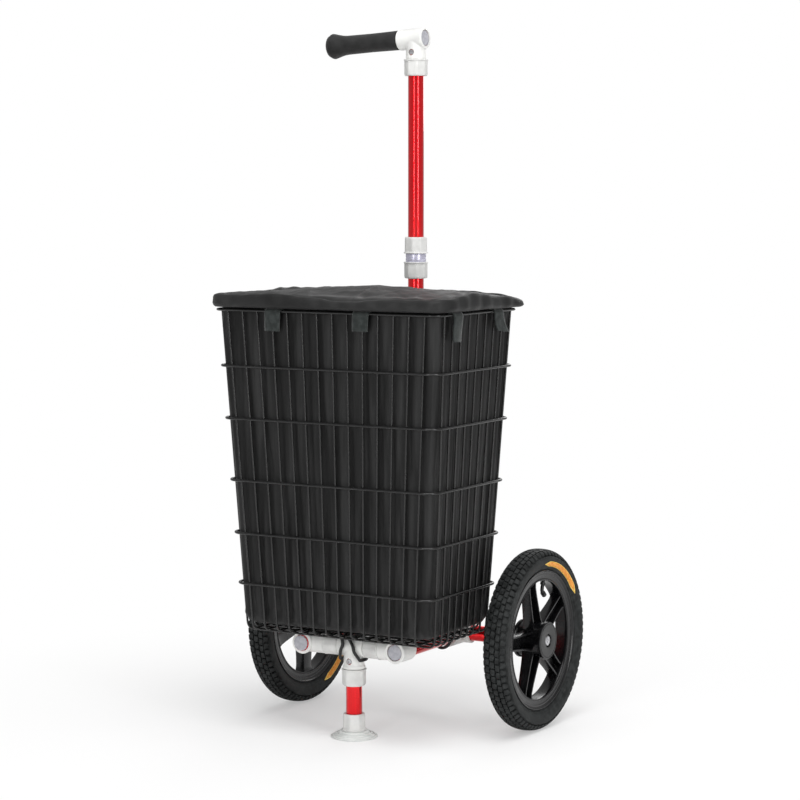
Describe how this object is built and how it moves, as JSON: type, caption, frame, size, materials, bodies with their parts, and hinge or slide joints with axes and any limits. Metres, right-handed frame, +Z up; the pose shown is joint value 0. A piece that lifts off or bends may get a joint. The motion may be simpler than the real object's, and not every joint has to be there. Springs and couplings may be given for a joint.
{
  "type": "bicycle trailer",
  "caption": "Two-wheeled basket trailer with a tube frame in moulded connectors, a wire basket with cloth bag and lid, a front foot and a mast with a handle.",
  "frame": {"origin": "on the ground under the middle of the trailer's outline", "axes": "+Z up, +X to the right wheel seen from the foot, -Y to the foot and +Y to the mast"},
  "size_m": [0.48, 0.432, 1.1],
  "materials": {
    "red_tube": "bright red anodised, satin sheen",
    "white_connector": "white moulded nylon",
    "ivory_nut": "warm white moulded nylon",
    "grey_plug": "grey moulded plastic",
    "silver_sleeve": "bare turned aluminium",
    "zinc_steel": "zinc plated steel",
    "tyre": "black rubber",
    "valve_rubber": "black rubber",
    "black_rim": "black glass-filled nylon",
    "grip_foam": "closed-cell foam",
    "basket_wire": "black powder-coated wire",
    "bag_cloth": "black coated polyester weave",
    "foot_vinyl": "milky soft vinyl",
    "strap": "black nylon strap"
  },
  "bodies": {
    "frame": {"axle_plug_left": "zinc_steel", "axle_plug_right": "zinc_steel", "axle_tube": "red_tube", "bearing_spacer_left": "zinc_steel", "bearing_spacer_right": "zinc_steel", "coupler_collet_lower": "grey_plug", "coupler_sleeve": "silver_sleeve", "cross_nut_left": "ivory_nut", "cross_nut_right": "ivory_nut", "cross_tube": "red_tube", "foot": "foot_vinyl", "front_tee_left": "white_connector", "front_tee_right": "white_connector", "leg_collar": "ivory_nut", "leg_nut": "ivory_nut", "leg_screw": "zinc_steel", "leg_tee": "white_connector", "leg_tie": "strap", "leg_tube": "red_tube", "lid_rear_strip": "bag_cloth", "liner_bag": "bag_cloth", "mast_lower": "red_tube", "mast_nut": "ivory_nut", "mast_screw": "zinc_steel", "mast_tee": "white_connector", "rail_cap_left": "grey_plug", "rail_cap_right": "grey_plug", "rail_left": "red_tube", "rail_right": "red_tube", "rail_tie_left": "strap", "rail_tie_right": "strap", "rear_tee_left": "white_connector", "rear_tee_right": "white_connector", "wheel_bolt_left": "zinc_steel", "wheel_bolt_right": "zinc_steel", "wire_basket": "basket_wire"},
    "mast_carrier": {"coupler_collet_upper": "grey_plug"},
    "mast_top": {"mast_upper": "red_tube", "handle_elbow": "white_connector", "handle_nut": "ivory_nut", "handle_screw": "zinc_steel", "handle_bar": "red_tube", "handle_cap": "grey_plug", "grip": "grip_foam"},
    "upper_nut": {"coupler_nut_upper": "ivory_nut"},
    "lower_nut": {"coupler_nut_lower": "ivory_nut"},
    "lid_flap": {"lid": "bag_cloth"},
    "left_wheel": {"tyre_left": "tyre", "rim_left": "black_rim", "bearing_inner_left": "zinc_steel", "bearing_outer_left": "zinc_steel", "valve_left": "valve_rubber"},
    "right_wheel": {"tyre_right": "tyre", "rim_right": "black_rim", "bearing_inner_right": "zinc_steel", "bearing_outer_right": "zinc_steel", "valve_right": "valve_rubber"}
  },
  "joints": [
    {"name": "left_wheel_spin", "type": "hinge", "parent": "frame", "child": "left_wheel", "pos_m": [-0.2155, 0.07355, 0.1425], "axis": [1, 0, 0], "continuous": true},
    {"name": "right_wheel_spin", "type": "hinge", "parent": "frame", "child": "right_wheel", "pos_m": [0.2155, 0.07355, 0.1425], "axis": [1, 0, 0], "continuous": true},
    {"name": "lid_open", "type": "hinge", "parent": "frame", "child": "lid_flap", "pos_m": [0, 0.02545, 0.6882], "axis": [-1, 0, 0], "range_deg": [0, 95]},
    {"name": "mast_pull_out", "type": "slide", "parent": "frame", "child": "mast_carrier", "axis": [0, 0, 1], "range_m": [0, 0.06]},
    {"name": "mast_turn", "type": "hinge", "parent": "mast_carrier", "child": "mast_top", "pos_m": [0, 0.07355, 0.7373], "axis": [0, 0, 1], "range_deg": [-180, 180]},
    {"name": "upper_nut_turn", "type": "hinge", "parent": "mast_carrier", "child": "upper_nut", "pos_m": [0, 0.07355, 0.7373], "axis": [0, 0, 1], "range_deg": [0, 360]},
    {"name": "lower_nut_turn", "type": "hinge", "parent": "frame", "child": "lower_nut", "pos_m": [0, 0.07355, 0.7373], "axis": [0, 0, -1], "range_deg": [0, 360]}
  ]
}
